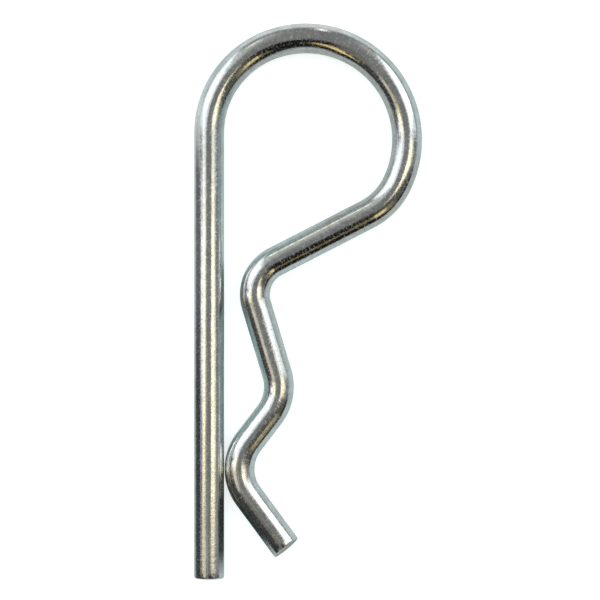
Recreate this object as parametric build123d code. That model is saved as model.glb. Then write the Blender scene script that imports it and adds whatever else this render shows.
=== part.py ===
# R shaped hitch pin clip, bent from one length of round spring wire. Sizes in millimetres, angles in degrees.
# The clip lies flat on the XY plane. The straight leg runs along Y, and its free end points to -Y.
# The wire goes up the leg, clockwise round the loop, and back down beside the leg as a waved spring arm.
from build123d import *
from math import asin, atan2, cos, degrees, hypot, radians, sin
import os

# Wire
wire_diameter = 4.0

# Straight leg, from its free end to the start of the loop
leg_length = 59.4
leg_end_rounding = 0.3

# Loop: three bends that run into each other. Every bend radius here is to the middle of the wire
shoulder_radius = 12.6
shoulder_turn = 71.0
crown_radius = 13.5
crown_turn = 135.4
cheek_radius = 8.9

# Spring arm: straight runs between three bends. A drop is how far the bend's centre is below the loop's start,
# and a gap is the clear space between the leg and the arm there
throat_radius = 4.9
throat_drop = 21.5
throat_gap = 2.1
pocket_radius = 6.2
pocket_drop = 33.8
pocket_gap = 5.3
toe_radius = 6.0
toe_drop = 44.8
toe_gap = 0.05

# Flared tip: its angle to the leg, and its straight run after the toe bend
tip_angle = 36.4
tip_run = 8.6
tip_end_rounding = 0.2

# The tip is sheared off a little out of square: tilted to face up, and turned in the plane of the clip
tip_cut_tilt = 10.0
tip_cut_turn = 3.5

LEFT, RIGHT = 1, -1


class Bend:
    # A bend of the wire about a centre, to the left or to the right of the way the wire runs
    def __init__(self, x, y, radius, side):
        self.x, self.y, self.radius, self.side = x, y, radius, side

    def touch(self, heading):
        # The point of the bend where the wire runs at this heading
        reach = self.side * self.radius
        return Vector(self.x + reach * sin(radians(heading)), self.y - reach * cos(radians(heading)))


def run_heading(first, second):
    # The heading of the straight run that leaves one bend and enters the next
    dx, dy = second.x - first.x, second.y - first.y
    offset = second.side * second.radius - first.side * first.radius
    return degrees(atan2(dy, dx) - asin(offset / hypot(dx, dy)))


def bend_arc(bend, heading_in, heading_out):
    # The arc of wire round a bend
    turn = ((heading_out - heading_in) * bend.side) % 360
    tangent = (cos(radians(heading_in)), sin(radians(heading_in)))
    return JernArc(bend.touch(heading_in), tangent, bend.radius, bend.side * turn)


def arm_bend(radius, drop, gap, bows_to_leg):
    # A bend of the spring arm, placed by the clear gap between the arm and the leg
    middle = wire_diameter + gap
    y = leg_length - drop
    if bows_to_leg:
        return Bend(middle + radius, y, radius, LEFT)
    return Bend(middle - radius, y, radius, RIGHT)


def centre_line():
    # The middle of the wire as a chain of lines and tangent arcs, and the heading at its tip
    leg = Line((0, 0), (0, leg_length))
    shoulder = JernArc(leg @ 1, leg % 1, shoulder_radius, -shoulder_turn)
    crown = JernArc(shoulder @ 1, shoulder % 1, crown_radius, -crown_turn)
    heading = 90 - shoulder_turn - crown_turn
    cheek_centre = crown @ 1 + Vector(sin(radians(heading)), -cos(radians(heading))) * cheek_radius

    bends = [
        Bend(cheek_centre.X, cheek_centre.Y, cheek_radius, RIGHT),
        arm_bend(throat_radius, throat_drop, throat_gap, True),
        arm_bend(pocket_radius, pocket_drop, pocket_gap, False),
        arm_bend(toe_radius, toe_drop, toe_gap, True),
    ]
    tip_heading = tip_angle - 90
    headings_out = [run_heading(a, b) for a, b in zip(bends, bends[1:])] + [tip_heading]

    chain = [leg, shoulder, crown]
    for bend, heading_out in zip(bends, headings_out):
        end = chain[-1] @ 1
        start = bend.touch(heading)
        if (start - end).length > 1e-6:
            chain.append(Line(end, start))
        chain.append(bend_arc(bend, heading, heading_out))
        heading = heading_out
    toe_end = chain[-1] @ 1
    way = Vector(cos(radians(heading)), sin(radians(heading)))
    return chain, toe_end + way * tip_run, way


def sheared_end(point, way):
    # The waste beyond the tip's cut, as a block with its near face on the cut
    across = Vector(-way.Y, way.X, 0)
    facing = way.rotate(Axis.Z, tip_cut_turn).rotate(Axis((0, 0, 0), across), -tip_cut_tilt)
    cut = Plane(origin=point, x_dir=across, z_dir=facing)
    side = 3 * wire_diameter
    return cut * Box(side, side, side, align=(Align.CENTER, Align.CENTER, Align.MIN))


def end_edges(solid, point):
    # The rim of the flat wire end at this point
    return solid.faces().filter_by(GeomType.PLANE).sort_by_distance(point)[0].edges()


def wire_clip():
    chain, tip, way = centre_line()
    spare = wire_diameter
    chain.append(Line(chain[-1] @ 1, tip + way * spare))
    section = Plane.XZ * Circle(wire_diameter / 2)
    clip = sweep(section, path=Wire(chain))
    clip -= sheared_end(tip, way)
    clip = fillet(end_edges(clip, Vector(0, 0, 0)), leg_end_rounding)
    return fillet(end_edges(clip, tip), tip_end_rounding)


def on_its_rest(solid):
    # Moves the clip so that the middle of its footprint is the origin and it lies on Z = 0
    box = solid.bounding_box()
    middle = box.center()
    return Pos(-middle.X, -middle.Y, -box.min.Z) * solid


clip = on_its_rest(wire_clip())
os.makedirs("parts", exist_ok=True)
export_step(clip, "parts/wire_clip.step")
box = clip.bounding_box()
print("size", round(box.size.X, 2), round(box.size.Y, 2), round(box.size.Z, 2), "volume", round(clip.volume, 1))
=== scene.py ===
from math import asin, atan2, ceil, cos, degrees, hypot, pi, radians, sin, tan

import bmesh
import bpy
from mathutils import Matrix, Vector


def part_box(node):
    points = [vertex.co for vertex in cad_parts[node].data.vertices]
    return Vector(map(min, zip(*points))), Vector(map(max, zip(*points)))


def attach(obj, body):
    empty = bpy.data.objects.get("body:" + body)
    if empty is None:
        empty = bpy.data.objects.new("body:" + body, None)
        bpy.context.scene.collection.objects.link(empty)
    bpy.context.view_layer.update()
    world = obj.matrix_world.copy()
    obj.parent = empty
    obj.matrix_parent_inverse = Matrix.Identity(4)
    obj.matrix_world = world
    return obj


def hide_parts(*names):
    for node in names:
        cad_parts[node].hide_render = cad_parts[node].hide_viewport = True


# Hitch pin clip of bright zinc plated spring wire. Metres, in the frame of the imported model.
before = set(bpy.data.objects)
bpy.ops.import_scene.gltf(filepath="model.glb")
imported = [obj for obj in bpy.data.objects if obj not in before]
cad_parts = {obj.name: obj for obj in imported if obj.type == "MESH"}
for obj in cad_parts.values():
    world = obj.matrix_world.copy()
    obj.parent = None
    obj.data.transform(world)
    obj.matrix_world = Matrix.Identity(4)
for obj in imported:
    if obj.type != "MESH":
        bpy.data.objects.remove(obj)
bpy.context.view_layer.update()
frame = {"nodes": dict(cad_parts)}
mm = 0.001
print("frame loaded with", ", ".join(frame["nodes"]))


class Value:
    # a shader socket that takes part in plain sums, each of which adds its Math node

    def __init__(self, graph, socket):
        self.graph, self.socket = graph, socket

    def maths(self, operation, first, second):
        return self.graph.add("ShaderNodeMath", {"operation": operation}, {0: first, 1: second})

    def __add__(self, other):
        return self.maths("ADD", self, other)

    def __sub__(self, other):
        return self.maths("SUBTRACT", self, other)

    def __rsub__(self, other):
        return self.maths("SUBTRACT", other, self)

    def __mul__(self, other):
        return self.maths("MULTIPLY", self, other)

    __radd__ = __add__
    __rmul__ = __mul__

    def out(self, name):
        # another output of the same node
        return Value(self.graph, self.socket.node.outputs[name])

    def atMost(self, limit):
        return self.maths("MINIMUM", self, limit)

    def stretched(self, x, y, z):
        return self.graph.add("ShaderNodeVectorMath", {"operation": "MULTIPLY"}, {0: self, 1: (x, y, z)})

    def between(self, low, high):
        # eases from 0 at low to 1 at high
        return self.graph.add("ShaderNodeMapRange", {"interpolation_type": "SMOOTHSTEP"},
                              {"Value": self, "From Min": low, "From Max": high})

    def blend(self, first, second):
        # one colour where this value is 0, the other where it is 1
        return self.graph.add("ShaderNodeMix", {"data_type": "RGBA"}, {0: self, 6: first, 7: second}, 2)

    def shade(self, colour, tone):
        # the colour multiplied by the tone where this value is 1
        return self.graph.add("ShaderNodeMix", {"data_type": "RGBA", "blend_type": "MULTIPLY"},
                              {0: self, 6: colour, 7: tone}, 2)


class Graph:
    # the node tree of a material or of the world

    def __init__(self, owner):
        owner.use_nodes = True
        self.tree = owner.node_tree
        self.tree.nodes.clear()

    def add(self, kind, settings, inputs, output=0):
        # a new node of this kind, its settings first and then the value or the link of each input
        node = self.tree.nodes.new(kind)
        for name, setting in settings.items():
            setattr(node, name, setting)
        for name, given in inputs.items():
            if isinstance(given, Value):
                self.tree.links.new(given.socket, node.inputs[name])
            else:
                node.inputs[name].default_value = given
        return Value(self, node.outputs[output]) if len(node.outputs) else None

    def noise(self, place, size, detail, roughness):
        # soft lumps of about this size, as a value round 0.5
        return self.add("ShaderNodeTexNoise", {},
                        {"Vector": place, "Scale": 1 / size, "Detail": detail, "Roughness": roughness})


def addMesh(name, bm):
    # what was modelled becomes an object of the scene
    mesh = bpy.data.meshes.new(name)
    bm.to_mesh(mesh)
    bm.free()
    made = bpy.data.objects.new(name, mesh)
    bpy.context.scene.collection.objects.link(made)
    return made


# The wire, from the leg's free end up the leg, clockwise round the loop and down the waved arm.
# Bend radii are to the middle of the wire, turns and other angles are in degrees.
wire = {
    "diameter": 4.0 * mm,
    "skin": 0.008 * mm,              # how far the drawn surface stays inside the solid
    "sides": 96,                     # round the wire
    "runStep": 1.0 * mm,             # from ring to ring of a straight run,
    "bendStep": 2.5,                 # and of a bend
    "legLength": 59.4 * mm,
    "legEndRounding": 0.3 * mm,
    "shoulderRadius": 12.6 * mm,
    "shoulderTurn": 71.0,
    "crownRadius": 13.5 * mm,
    "crownTurn": 135.4,
    "cheekRadius": 8.9 * mm,
    # The arm's bends. Drop is how far down the leg the centre lies, and gap is what the bend leaves
    # clear beside the leg. Side is 1 for a bend towards the leg and -1 for one away from it.
    "throat": {"radius": 4.9 * mm, "drop": 21.5 * mm, "gap": 2.1 * mm, "side": 1},
    "pocket": {"radius": 6.2 * mm, "drop": 33.8 * mm, "gap": 5.3 * mm, "side": -1},
    "toe": {"radius": 6.0 * mm, "drop": 44.8 * mm, "gap": 0.05 * mm, "side": 1},
    "tipAngle": 36.4,                # between the tip and the leg
    "tipRun": 8.6 * mm,
    "tipEndRounding": 0.13 * mm,
    "tipCutTilt": 10.0,              # the cut faces up a little,
    "tipCutTurn": 3.5,               # and is turned a little in the plane of the clip
    "tipSpare": 1.2 * mm,            # wire drawn past the cut, then sheared off
    "cutReach": 1e-8,                # a corner this near to the cut is taken to lie on it
    "rimSteps": 5,                   # flats that make up the rounding of a cut end
    "endCrown": 0.03 * mm,           # how far the middle of a cut end stands out,
    "crownRise": (0.45, 0.4, 0.15),  # the share of that in each step inwards from the rim,
    "crownInset": 0.3,               # and how wide a step is, as a share of the wire's radius
}
toRight = -1                         # a bend to the right of the way the wire is fed


def rightOf(heading):
    return Vector((sin(radians(heading)), -cos(radians(heading)), 0))


def wayOf(heading):
    return Vector((cos(radians(heading)), sin(radians(heading)), 0))


def armBend(legEnd, spec):
    # the centre of a bend of the arm, from the clear gap that it leaves beside the leg
    reach = wire["diameter"] + spec["gap"] + spec["side"] * spec["radius"]
    return legEnd + Vector((reach, wire["legLength"] - spec["drop"], 0))


def runHeading(centreA, radiusA, sideA, centreB, radiusB, sideB):
    # the heading of the straight run that leaves bend A and enters bend B
    gap = centreB - centreA
    return degrees(atan2(gap.y, gap.x) - asin((sideB * radiusB - sideA * radiusA) / hypot(gap.x, gap.y)))


class WireFeed:
    # feeds the wire out ring by ring, and writes each ring's place on the straightened wire

    def __init__(self, bm, legEnd, radius):
        self.bm = bm
        self.layer = bm.verts.layers.float_vector.new("wirePlace")
        stand = Matrix.Translation(legEnd) @ Matrix.Rotation(radians(90), 4, "X")
        bmesh.ops.create_circle(bm, cap_ends=True, radius=radius, segments=wire["sides"], matrix=stand)
        self.rim = bm.edges[:]
        self.position, self.heading, self.fed = legEnd.copy(), 90.0, 0.0
        self.write(bm.verts, legEnd, Vector((0, 1, 0)), 0.0)

    def write(self, verts, start, way, fedAtStart):
        # x and z across the wire and y along it, for points on a straight stretch
        right = Vector((way.y, -way.x, 0))
        for vert in verts:
            off = vert.co - start
            vert[self.layer] = (off.dot(right), fedAtStart + off.dot(way), off.z)

    def ring(self, geom, fedBy):
        self.rim = [e for e in geom if isinstance(e, bmesh.types.BMEdge)]
        self.fed += fedBy
        for vert in {v for e in self.rim for v in e.verts}:
            across = vert[self.layer]
            vert[self.layer] = (across.x, self.fed, across.z)

    def run(self, length, step):
        count = max(1, round(length / step))
        move = wayOf(self.heading) * length / count
        for _ in range(count):
            old = set(self.rim)
            grown = bmesh.ops.extrude_edge_only(self.bm, edges=self.rim)["geom"]
            verts = [v for v in grown if isinstance(v, bmesh.types.BMVert)]
            bmesh.ops.translate(self.bm, verts=verts, vec=move)
            fresh = set(verts)
            self.ring([e for e in grown if isinstance(e, bmesh.types.BMEdge)
                       and e not in old and set(e.verts) <= fresh], length / count)
        self.position += wayOf(self.heading) * length

    def bend(self, centre, side, turn):
        count = max(1, round(turn / wire["bendStep"]))
        radius = (self.position - centre).length
        for _ in range(count):
            spun = bmesh.ops.spin(self.bm, geom=self.rim, cent=centre, axis=(0, 0, 1), steps=1,
                                  angle=side * radians(turn / count), use_duplicate=False)
            self.ring(spun["geom_last"], radius * radians(turn / count))
        self.heading += side * turn
        self.position = centre + rightOf(self.heading) * side * radius


def roundRim(bm, rim, rounding):
    bmesh.ops.bevel(bm, geom=rim, offset=rounding, offset_type="OFFSET", affect="EDGES",
                    segments=wire["rimSteps"], profile=0.5, material=-1)


def makeClip():
    radius = wire["diameter"] / 2 - wire["skin"]
    low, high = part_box("wire_clip")
    legEnd = Vector((low.x + wire["diameter"] / 2, low.y, (low.z + high.z) / 2))

    # the flat of each cut end stands back a little, to leave room for its crown
    bm = bmesh.new()
    legFace = legEnd + wayOf(90) * (wire["endCrown"] + wire["skin"])
    feed = WireFeed(bm, legFace, radius)
    legRim = feed.rim[:]

    # the leg and the loop
    feed.run(wire["legLength"] - (legFace - legEnd).length, wire["runStep"])
    for name in ("shoulder", "crown"):
        centre = feed.position + rightOf(feed.heading) * wire[name + "Radius"]
        feed.bend(centre, toRight, wire[name + "Turn"])

    # the arm: a run to each next bend, then round it
    centre = feed.position + rightOf(feed.heading) * wire["cheekRadius"]
    radiusNow, sideNow = wire["cheekRadius"], toRight
    for name in ("throat", "pocket", "toe"):
        spec = wire[name]
        nextCentre = armBend(legEnd, spec)
        heading = runHeading(centre, radiusNow, sideNow, nextCentre, spec["radius"], spec["side"])
        feed.bend(centre, sideNow, ((heading - feed.heading) * sideNow) % 360)
        touch = nextCentre + rightOf(heading) * spec["side"] * spec["radius"]
        feed.run((touch - feed.position).length, wire["runStep"])
        centre, radiusNow, sideNow = nextCentre, spec["radius"], spec["side"]
    feed.bend(centre, sideNow, ((wire["tipAngle"] - 90 - feed.heading) * sideNow) % 360)

    # the tip, with its last stretch in one step so that the cut and its rounding fall inside it
    feed.run(wire["tipRun"] - wire["tipSpare"], wire["runStep"])
    lastStart, lastFed, way = feed.position.copy(), feed.fed, wayOf(feed.heading)
    before = set(bm.faces)
    feed.run(2 * wire["tipSpare"], 2 * wire["tipSpare"])
    lastFaces = [f for f in bm.faces if f not in before]
    tip = lastStart + way * (wire["tipSpare"] - wire["endCrown"])
    facing = Matrix.Rotation(radians(wire["tipCutTurn"]), 3, "Z") @ way
    facing = Matrix.Rotation(radians(-wire["tipCutTilt"]), 3, Vector((-way.y, way.x, 0))) @ facing
    lastGeom = list({v for f in lastFaces for v in f.verts}) + list({e for f in lastFaces for e in f.edges})
    cut = bmesh.ops.bisect_plane(bm, geom=lastGeom + lastFaces, dist=wire["cutReach"], plane_co=tip,
                                 plane_no=facing, clear_outer=True)["geom_cut"]
    tipRim = [e for e in cut if isinstance(e, bmesh.types.BMEdge)]
    bmesh.ops.edgeloop_fill(bm, edges=tipRim)

    for rim, rounding in ((legRim, wire["legEndRounding"]), (tipRim, wire["tipEndRounding"])):
        roundRim(bm, rim, rounding)

    # the flat ends take the second material: shallow insets crown them, and a poke closes each one
    sheared = 1
    for cap in [f for f in bm.faces if len(f.verts) > 4]:
        cap.material_index = sheared
        for rise in wire["crownRise"]:
            inset = bmesh.ops.inset_region(bm, faces=[cap], thickness=wire["crownInset"] * radius,
                                           depth=rise * wire["endCrown"])
            for face in inset["faces"]:
                face.material_index = sheared
        for face in bmesh.ops.poke(bm, faces=[cap])["faces"]:
            face.material_index = sheared

    # the ends moved, so their places on the wire are written again
    feed.write([v for v in bm.verts if v[feed.layer].y < 0.5 * wire["runStep"]], legFace, wayOf(90), 0.0)
    feed.write([v for v in bm.verts if v[feed.layer].y > lastFed], lastStart, way, lastFed)

    bmesh.ops.recalc_face_normals(bm, faces=bm.faces)
    for face in bm.faces:
        face.smooth = True
    print("wire bent,", round(feed.fed / mm, 1), "mm fed,", len(bm.faces), "faces")
    return addMesh("bent_wire", bm)


# Bright zinc plating with a clear blue passivate. A pattern is its size, its detail and how rough
# that detail is. The pair in its Range says where the pattern starts to tell and where it tells fully.
zinc = {
    "silver": (0.89, 0.885, 0.875, 1),
    "blue": (0.855, 0.88, 0.895, 1),
    "straw": (0.885, 0.87, 0.83, 1),
    "tint": (0.9 * mm, 3.0, 0.6),
    "strawRange": (0.5, 0.72),
    "blueRange": (0.5, 0.3),
    "pit": (0.30 * mm, 3.0, 0.7),
    "pitRange": (0.6, 0.4),
    "pitTone": (0.88, 0.88, 0.885, 1),      # the colour is multiplied by this in the fine pits,
    "cloud": (1.3 * mm, 2.0, 0.5),
    "cloudRange": (0.6, 0.4),
    "cloudTone": (0.87, 0.875, 0.865, 1),   # and by this in the soft clouds
    "edgeTint": (0.93, 0.99, 1.0, 1),       # of what is mirrored at a glancing angle
    "roughness": 0.085,
    "smudge": (5.0 * mm, 3.0, 0.5),
    "smudgeRange": (0.4, 0.7),
    "smudgeRoughness": 0.05,                # extra roughness where handling dulled it
    "speck": (0.32 * mm, 3.0, 0.65),
    "speckRange": (0.45, 0.72),
    "speckRoughness": 0.25,                 # extra roughness of the dull specks,
    "speckBloom": 0.03,                     # and how much less metallic they are
    "pitDepth": 0.004 * mm,
    "draw": (0.22 * mm, 2.0, 0.5),
    "drawStretch": (1, 0.07, 1),            # the smaller, the longer the lines run along the wire
    "drawDepth": 0.005 * mm,
    "ripple": (0.5 * mm, 1.0, 0.5),
    "rippleStretch": (0.25, 1, 0.25),       # the ripples run round it
    "rippleDepth": 0.005 * mm,
}


def bumped(graph, height, depth, normal=None):
    inputs = {"Strength": 1.0, "Distance": depth, "Height": height}
    if normal is not None:
        inputs["Normal"] = normal
    return graph.add("ShaderNodeBump", {}, inputs)


def metal(graph, colour, metallic, roughness, normal):
    shader = graph.add("ShaderNodeBsdfPrincipled", {},
                       {"Base Color": colour, "Metallic": metallic, "Roughness": roughness,
                        "Specular Tint": zinc["edgeTint"], "Normal": normal})
    graph.add("ShaderNodeOutputMaterial", {}, {"Surface": shader})


def zincPlating():
    material = bpy.data.materials.new("brightZincPlating")
    graph = Graph(material)
    place = graph.add("ShaderNodeAttribute", {"attribute_name": "wirePlace"}, {}, "Vector")

    pits = graph.noise(place, *zinc["pit"])
    clouds = graph.noise(place, *zinc["cloud"])
    drawn = graph.noise(place.stretched(*zinc["drawStretch"]), *zinc["draw"])
    ripples = graph.noise(place.stretched(*zinc["rippleStretch"]), *zinc["ripple"])
    normal = bumped(graph, ripples, zinc["rippleDepth"])
    normal = bumped(graph, drawn, zinc["drawDepth"], normal)
    normal = bumped(graph, pits, zinc["pitDepth"], normal)

    smudges = graph.noise(place, *zinc["smudge"]).between(*zinc["smudgeRange"])
    specks = graph.noise(place, *zinc["speck"]).between(*zinc["speckRange"])
    roughness = zinc["roughness"] + smudges * zinc["smudgeRoughness"] + specks * zinc["speckRoughness"]

    tint = graph.noise(place, *zinc["tint"])
    colour = tint.between(*zinc["strawRange"]).blend(zinc["silver"], zinc["straw"])
    colour = tint.between(*zinc["blueRange"]).blend(colour, zinc["blue"])
    colour = pits.between(*zinc["pitRange"]).shade(colour, zinc["pitTone"])
    colour = clouds.between(*zinc["cloudRange"]).shade(colour, zinc["cloudTone"])
    metal(graph, colour, 1 - specks * zinc["speckBloom"], roughness, normal)
    return material


# The sheared ends are plated too, but duller and scored across by the blade
cutEnd = {
    "colour": (0.57, 0.54, 0.50, 1),
    "scored": (0.43, 0.41, 0.38, 1),
    "score": (0.12 * mm, 3.0, 0.5),
    "scoreStretch": (1, 1, 0.08),           # the smaller, the longer the marks run up and down
    "scoreRange": (0.45, 0.65),
    "pit": (0.12 * mm, 2.0, 0.5),
    "pitShare": 0.6,                        # how deep the pits are beside the scoring
    "depth": 0.02 * mm,
    "roughness": 0.36,
    "pitRoughness": 0.1,
}


def cutEndPlating():
    material = bpy.data.materials.new("shearedEndPlating")
    graph = Graph(material)
    place = graph.add("ShaderNodeAttribute", {"attribute_name": "wirePlace"}, {}, "Vector")
    score = graph.noise(place.stretched(*cutEnd["scoreStretch"]), *cutEnd["score"])
    pits = graph.noise(place, *cutEnd["pit"])
    normal = bumped(graph, score + pits * cutEnd["pitShare"], cutEnd["depth"])
    colour = score.between(*cutEnd["scoreRange"]).blend(cutEnd["colour"], cutEnd["scored"])
    metal(graph, colour, 1.0, cutEnd["roughness"] + pits * cutEnd["pitRoughness"], normal)
    return material


clip = makeClip()
clip.data.materials.append(zincPlating())
clip.data.materials.append(cutEndPlating())
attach(clip, "root")
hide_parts("wire_clip")
print("plating done")

# The floor is pale. For the camera it is lifted to white, only as far as its own light falls short
floorLook = {
    "halfSize": 3000 * mm,
    "colour": (0.445, 0.534, 0.552, 1),
    "cameraLift": (0.72, 0.72, 0.72, 1),
    "farLift": (1, 1, 1, 1),                # where the lamps no longer reach
    "farFade": (300 * mm, 1200 * mm),       # from the one lift to the other
    "glossyShare": 0.14,                    # how much of the lift the reflections get
}
# Painted light and shade on the floor, for the wire to mirror: the paler patch beyond the crown is painted
# light, and the greyer patches inside the loop and to the lower right are painted shade. In millimetres:
# the middle of the tone, how far it reaches in full, and how far off it has faded out
floorPaintedLightAndShade = {
    "beyondCrownPaintedLight": {
        "middle": (-4, 80), "reach": 38, "fade": 47, "colour": (0.659, 0.676, 0.676, 1)},
    "insideLoopPaintedShade": {
        "middle": (1, 23), "reach": 6, "fade": 12, "colour": (0.356, 0.383, 0.378, 1)},
    "lowerRightPaintedShade": {
        "middle": (32, -2), "reach": 18, "fade": 29, "colour": (0.374, 0.401, 0.378, 1)},
}


def makeFloor():
    bm = bmesh.new()
    bmesh.ops.create_grid(bm, x_segments=1, y_segments=1, size=floorLook["halfSize"])
    floor = addMesh("studioFloor", bm)
    material = bpy.data.materials.new("paleFloor")
    graph = Graph(material)
    path = graph.add("ShaderNodeLightPath", {}, {}, "Is Camera Ray")
    seen = path + path.out("Is Transmission Ray")
    seen = seen + path.out("Is Glossy Ray") * floorLook["glossyShare"]
    place = graph.add("ShaderNodeTexCoord", {}, {}, "Object")
    fromClip = graph.add("ShaderNodeVectorMath", {"operation": "LENGTH"}, {0: place}, "Value")
    lifted = fromClip.between(*floorLook["farFade"]).blend(floorLook["cameraLift"], floorLook["farLift"])
    colour = floorLook["colour"]
    # painted light and shade: each patch turns the floor paler or greyer where the wire mirrors it
    for tone in floorPaintedLightAndShade.values():
        x, y = tone["middle"]
        fromMiddle = graph.add("ShaderNodeVectorMath", {"operation": "DISTANCE"},
                               {0: place, 1: (x * mm, y * mm, 0)}, "Value")
        toned = fromMiddle.between(tone["fade"] * mm, tone["reach"] * mm)
        colour = toned.blend(colour, tone["colour"])
    paint = graph.add("ShaderNodeBsdfDiffuse", {}, {"Color": colour})
    lift = graph.add("ShaderNodeEmission", {}, {"Color": lifted, "Strength": seen})
    both = graph.add("ShaderNodeAddShader", {}, {0: paint, 1: lift})
    graph.add("ShaderNodeOutputMaterial", {}, {"Surface": both})
    floor.data.materials.append(material)


# The lamps stand on a dome round the clip, and each is built up from flat bands. Azimuth runs from +X
# towards +Y and polar down from overhead, in degrees. Where a lamp leans, azimuth is for its top edge
# and azimuthLow for its bottom edge. A lamp with a side stands to that side of the clip, 1 for +X, and
# runs along Y between the millimetres in y. Light is how bright its face is, where 1 is white. A lamp
# that is matteOnly isn't mirrored in anything.
dome = {
    "radius": 600 * mm,
    "tallestBand": 7,                       # degrees
}
lamps = {
    "keyCore": {"azimuth": (12, 41), "azimuthLow": (20, 50), "polar": (32, 71),
                "light": (0.95, 1.0, 1.02)},
    "keyPanel": {"azimuth": (7, 44), "azimuthLow": (8, 54), "polar": (23, 75),
                 "light": (0.56, 0.62, 0.63)},
    "creamRight": {"side": 1, "y": (-18, 40), "polar": (17.5, 42), "light": (1.45, 1.36, 0.96)},
    "creamRightLow": {"side": 1, "y": (-52, -18), "polar": (15, 42), "light": (1.45, 1.36, 0.96)},
    "creamSkirt": {"side": 1, "y": (-60, -2), "polar": (42, 55), "light": (0.70, 0.67, 0.44)},
    "creamSkirtFar": {"side": 1, "y": (-2, 60), "polar": (42, 52), "light": (0.34, 0.33, 0.20)},
    "goldEdgeRight": {"side": 1, "y": (-88, -52), "polar": (13, 44), "light": (1.0, 0.91, 0.58)},
    "oliveRight": {"azimuth": (308, 355), "polar": (20, 72), "light": (0.085, 0.085, 0.068)},
    "fillCore": {"azimuth": (147, 176), "azimuthLow": (135, 160), "polar": (40, 70),
                 "light": (0.42, 0.40, 0.39)},
    "fillSoft": {"azimuth": (141, 177), "azimuthLow": (124, 168), "polar": (32, 76),
                 "light": (0.24, 0.25, 0.26)},
    "fillPanel": {"azimuth": (139, 177), "azimuthLow": (123, 170), "polar": (22, 84),
                  "light": (0.52, 0.59, 0.63)},
    "creamLeft": {"side": -1, "y": (-57, 32), "polar": (28.5, 46), "light": (1.38, 1.29, 0.82)},
    "lavenderLeft": {"side": -1, "y": (-28, 32), "polar": (46, 64), "light": (1.12, 1.07, 1.24)},
    "lavenderEnd": {"side": -1, "y": (-57, -28), "polar": (46, 54), "light": (0.66, 0.58, 0.55)},
    "lavenderSkirt": {"side": -1, "y": (-57, 40), "polar": (64, 73), "light": (0.13, 0.12, 0.19)},
    "goldSkirtLeft": {"side": -1, "y": (-60, 10), "polar": (18, 28), "light": (0.24, 0.21, 0.08)},
    "goldEdgeLeft": {"side": -1, "y": (-84, -57), "polar": (37, 56), "light": (0.70, 0.61, 0.31)},
    "goldEndLeft": {"side": -1, "y": (-112, -84), "polar": (34, 56), "light": (0.34, 0.30, 0.17)},
    "tailLeft": {"azimuth": (195, 212), "polar": (26, 48), "light": (0.58, 0.53, 0.42)},
    "greyLeft": {"azimuth": (206, 246), "polar": (12, 42), "light": (0.155, 0.15, 0.125)},
    "dimLeft": {"azimuth": (194, 236), "polar": (46, 74), "light": (0.045, 0.044, 0.042)},
    "creamLine": {"azimuth": (113, 120), "polar": (57.5, 63.5), "light": (0.95, 0.90, 0.62)},
    "goldLow": {"azimuth": (252, 267), "azimuthLow": (233, 247), "polar": (34, 63),
                "light": (0.95, 0.77, 0.34)},
    "goldRight": {"azimuth": (305, 316), "polar": (40, 61), "light": (0.86, 0.70, 0.31)},
    "goldLine": {"azimuth": (293, 305), "polar": (45, 57), "light": (0.15, 0.125, 0.06)},
    "goldFade": {"azimuth": (314, 325), "polar": (42, 75), "light": (0.13, 0.11, 0.055)},
    "farSpot": {"azimuth": (80, 84), "polar": (68, 85), "light": (1.5, 1.5, 1.4)},
    "softTop": {"side": 1, "y": (-350, 350), "polar": (-30, 30), "light": (1.5, 1.5, 1.5),
                "matteOnly": True},
}


def makeLamp(name, spec):
    # the bands of one lamp, from its top edge down
    top, bottom = spec["polar"]
    bands = ceil((bottom - top) / dome["tallestBand"])
    tall = (bottom - top) / bands
    brightness = max(spec["light"])
    for band in range(bands):
        share = (band + 0.5) / bands
        polar = radians(top + share * (bottom - top))
        if "side" in spec:
            azimuth = 0 if spec["side"] > 0 else pi
            slide, wide = sum(spec["y"]) / 2 * mm, (spec["y"][1] - spec["y"][0]) * mm
        else:
            corners = zip(spec["azimuth"], spec.get("azimuthLow", spec["azimuth"]))
            start, end = (radians(high * (1 - share) + low * share) for high, low in corners)
            azimuth = (start + end) / 2
            slide, wide = 0, 2 * dome["radius"] * sin(polar) * tan((end - start) / 2)
        light = bpy.data.lights.new(name, "AREA")
        light.shape = "RECTANGLE"
        light.size = wide
        light.size_y = 2 * dome["radius"] * tan(radians(tall / 2))
        light.color = [part / brightness for part in spec["light"]]
        light.energy = brightness * pi * light.size * light.size_y
        lamp = bpy.data.objects.new(name, light)
        toLamp = Vector((cos(azimuth) * sin(polar), sin(azimuth) * sin(polar), cos(polar)))
        across = Vector((-sin(azimuth), cos(azimuth), 0))
        turned = Matrix((across, toLamp.cross(across), toLamp)).transposed().to_4x4()
        lamp.matrix_world = Matrix.Translation(toLamp * dome["radius"] + Vector((0, slide, 0))) @ turned
        lamp.visible_camera = False
        lamp.visible_glossy = not spec.get("matteOnly", False)
        bpy.context.scene.collection.objects.link(lamp)


# A sheet left of the leg, seen only in the wire's reflections, is a painted reflection that gives the wire
# its dark edge there as painted shade. It is pale close to the leg and towards the loop, and darkest at its
# other end.
# It lies flat beside the leg and rises away from it.
paintedReflectionSheet = {
    "lift": 0.2 * mm,                       # off the floor
    "nearX": -15.3 * mm,
    "flatX": -29 * mm,
    "farX": -110 * mm,
    "rise": 36 * mm,                        # how high the edge away from the leg hangs
    "y": (-90 * mm, 32 * mm),
    "fadeX": (-15.5 * mm, -22 * mm),        # from pale to grey
    "fadeY": (17 * mm, 27 * mm),            # and back to pale
    "deepenY": (6 * mm, -14 * mm),          # from pale and grey to paleLow and dark
    "pale": (0.748, 0.783, 0.783, 1),
    "grey": (0.156, 0.16, 0.165, 1),
    "paleLow": (0.587, 0.623, 0.605, 1),
    "dark": (0.053, 0.059, 0.061, 1),
}


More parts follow.
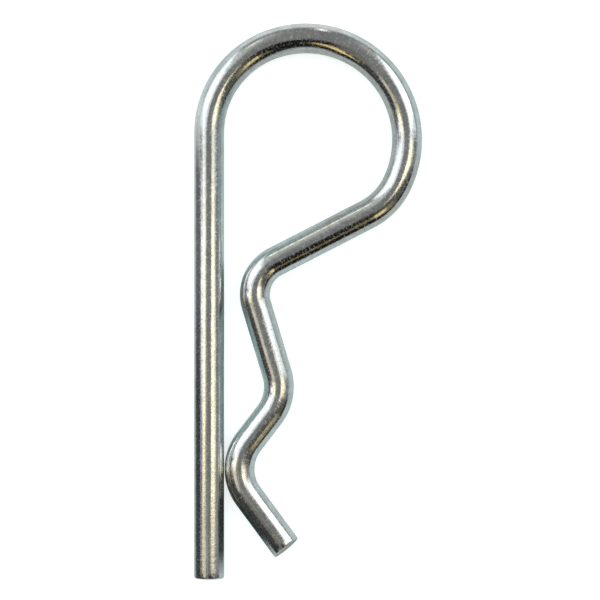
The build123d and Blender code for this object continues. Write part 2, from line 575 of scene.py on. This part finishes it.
def layPaintedReflection(name, bm, material):
    # only the wire's reflections show it: a painted reflection
    paintedSheet = addMesh(name, bm)
    paintedSheet.data.materials.append(material)
    paintedSheet.visible_camera = False
    paintedSheet.visible_shadow = False
    paintedSheet.visible_diffuse = False


def makePaintedReflectionSheet():
    bm = bmesh.new()
    line = ((paintedReflectionSheet["nearX"], paintedReflectionSheet["lift"]), (paintedReflectionSheet["flatX"], paintedReflectionSheet["lift"]),
            (paintedReflectionSheet["farX"], paintedReflectionSheet["rise"]))
    start, end = paintedReflectionSheet["y"]
    points = [bm.verts.new((x, start, z)) for x, z in line]
    edges = [bm.edges.new(pair) for pair in zip(points, points[1:])]
    grown = bmesh.ops.extrude_edge_only(bm, edges=edges)["geom"]
    bmesh.ops.translate(bm, verts=[v for v in grown if isinstance(v, bmesh.types.BMVert)],
                        vec=(0, end - start, 0))
    material = bpy.data.materials.new("paintedReflectionSheet")
    graph = Graph(material)
    place = graph.add("ShaderNodeTexCoord", {}, {}, "Object")
    axes = graph.add("ShaderNodeSeparateXYZ", {}, {"Vector": place}, "X")
    # painted reflection: pale by the leg and the loop, and painted shade where it is grey and dark
    deep = axes.out("Y").between(*paintedReflectionSheet["deepenY"])
    pale = deep.blend(paintedReflectionSheet["pale"], paintedReflectionSheet["paleLow"])
    colour = axes.between(*paintedReflectionSheet["fadeX"]).blend(pale, deep.blend(paintedReflectionSheet["grey"], paintedReflectionSheet["dark"]))
    colour = axes.out("Y").between(*paintedReflectionSheet["fadeY"]).blend(colour, pale)
    paint = graph.add("ShaderNodeBsdfDiffuse", {}, {"Color": colour})
    graph.add("ShaderNodeOutputMaterial", {}, {"Surface": paint})
    layPaintedReflection("paintedReflectionSheet", bm, material)


# Scraps seen only in the wire's reflections tone the sides of the leg and the arm that face each other. The
# dark ones are painted shade, lying and standing in the wedge at the tip and lying where the arm first
# comes near the leg;
# the pale ones are a painted paler reflection, hanging inside the loop and standing where the arm first
# comes near the leg. Each fades out along Y, over soft at both ends of its span. Millimetres.
paintedReflectionScraps = {
    "wedgeShadeScrap": {
        "corners": ((-10.9, -21, 0.2), (-10.9, -38, 0.2), (-1, -44, 0.2), (-7.4, -21, 0.2)),
        "span": (-37, -21), "soft": 4.5, "colour": (0.089, 0.107, 0.107, 1)},
    "standingShadeScrap": {
        "corners": ((-10.9, -24.5, 0.2), (-7.6, -37.5, 0.2), (-7.6, -37.5, 4.1), (-10.9, -24.5, 4.1)),
        "span": (-37.5, -24.5), "soft": 4.5, "colour": (0.098, 0.125, 0.12, 1)},
    "hangingReflectionScrap": {
        "corners": ((-8.6, 4, 2.2), (-8.6, 30, 2.2), (-8.6, 30, 3.9), (-8.6, 4, 3.9)),
        "span": (4, 30), "soft": 8, "colour": (0.534, 0.748, 0.801, 1)},
    "gapShadeScrap": {
        "corners": ((-11.0, 6, 0.2), (-11.0, -8, 0.2), (-8.4, -8, 0.2), (-8.9, 1, 0.2), (-8.0, 6, 0.2)),
        "span": (-8, 6), "soft": 3, "colour": (0.178, 0.276, 0.294, 1)},
    "standingGapReflectionScrap": {
        "corners": ((-10.3, -20, 0.2), (-10.3, -1, 0.2), (-10.3, -1, 3.4), (-10.3, -20, 3.4)),
        "span": (-20, -1), "soft": 4, "colour": (0.623, 0.801, 0.819, 1)},
}


def makeScrap(name, spec):
    bm = bmesh.new()
    corners = [bm.verts.new(Vector(corner) * mm) for corner in spec["corners"]]
    bmesh.ops.contextual_create(bm, geom=corners)
    material = bpy.data.materials.new(name)
    graph = Graph(material)
    place = graph.add("ShaderNodeTexCoord", {}, {}, "Object")
    along = graph.add("ShaderNodeSeparateXYZ", {}, {"Vector": place}, "Y")
    low, high, soft = (part * mm for part in (*spec["span"], spec["soft"]))
    shown = along.between(low, low + soft) * along.between(high, high - soft)
    # painted shade where the scrap is dark, a painted paler reflection where it is pale
    paint = graph.add("ShaderNodeBsdfDiffuse", {}, {"Color": spec["colour"]})
    clear = graph.add("ShaderNodeBsdfTransparent", {}, {})
    both = graph.add("ShaderNodeMixShader", {}, {0: shown, 1: clear, 2: paint})
    graph.add("ShaderNodeOutputMaterial", {}, {"Surface": both})
    layPaintedReflection(name, bm, material)


# The room beyond the lamps: grey, dark on the near side, and pale low down where the paper sweep
# rises. The camera sees it white. Directions run from -1 to 1 along each axis, and a pair of them says
# where a tone starts to tell and where it tells fully.
room = {
    "grey": (0.205, 0.21, 0.21, 1),
    "dark": (0.007, 0.008, 0.011, 1),
    "nearSide": (-0.30, -0.07),             # along Y, from the dark to the grey
    "glow": (0.50, 0.54, 0.52, 1),          # the far walls beside the big lamps
    "glowAside": (0.0, 0.22),
    "glowTilt": 0.2,                        # more of it towards -X
    "glowFar": (0.10, 0.40),                # none of it at the sides and on the near side,
    "glowHigh": (0.12, 0.50),               # and none low down
    "pale": (0.38, 0.46, 0.49, 1),
    "sweepTop": (0.30, 0.06),               # how high the pale sweep reaches
    "farDip": 0.06,                         # how much lower the sweep is on the far side
    "nearRise": 0.08,                       # how much it rises straight on the near side,
    "pinch": 1.7,                           # how fast it falls off from there,
    "pinchEnd": 0.28,                       # and how far
    "nearTilt": 0.07,                       # it falls off less towards +X
}


def makeRoom():
    world = bpy.data.worlds.new("studioRoom")
    bpy.context.scene.world = world
    graph = Graph(world)
    way = graph.add("ShaderNodeTexCoord", {}, {}, "Generated")
    axes = graph.add("ShaderNodeSeparateXYZ", {}, {"Vector": way}, "Z")
    lit = axes.out("Y").between(*room["nearSide"])
    aside = axes.out("X")
    fallOff = (aside * aside * room["pinch"]).atMost(room["pinchEnd"]) - aside * room["nearTilt"]
    height = axes + lit * axes.out("Y") * room["farDip"] + (1 - lit) * (fallOff - room["nearRise"])
    walls = lit.blend(room["dark"], room["grey"])
    glow = (aside * aside - aside * room["glowTilt"]).between(*room["glowAside"])
    glow = glow * axes.out("Y").between(*room["glowFar"]) * axes.between(*room["glowHigh"])
    walls = glow.blend(walls, room["glow"])
    colour = height.between(*room["sweepTop"]).blend(walls, room["pale"])
    light = graph.add("ShaderNodeBackground", {}, {"Color": colour})
    white = graph.add("ShaderNodeBackground", {}, {"Color": (1, 1, 1, 1)})
    path = graph.add("ShaderNodeLightPath", {}, {}, "Is Camera Ray")
    both = graph.add("ShaderNodeMixShader", {}, {0: path, 1: light, 2: white})
    graph.add("ShaderNodeOutputWorld", {}, {"Surface": both})


# The camera looks straight down on the clip
camera = {
    "x": -1.082 * mm,
    "y": 0.136 * mm,
    "above": 400 * mm,
    "viewWidth": 80 * mm,                   # at the height of the wire's middle
    "sensor": 36.0,
}


def makeCamera():
    data = bpy.data.cameras.new("topCamera")
    data.sensor_width = camera["sensor"]
    data.lens = camera["sensor"] * camera["above"] / camera["viewWidth"]
    eye = bpy.data.objects.new("topCamera", data)
    eye.location = (camera["x"], camera["y"], camera["above"] + wire["diameter"] / 2)
    bpy.context.scene.collection.objects.link(eye)
    bpy.context.scene.camera = eye


makeFloor()
for name, spec in lamps.items():
    makeLamp(name, spec)
makePaintedReflectionSheet()
for name, spec in paintedReflectionScraps.items():
    makeScrap(name, spec)
makeRoom()
makeCamera()
bpy.context.scene.view_settings.view_transform = "Standard"
print("studio ready")
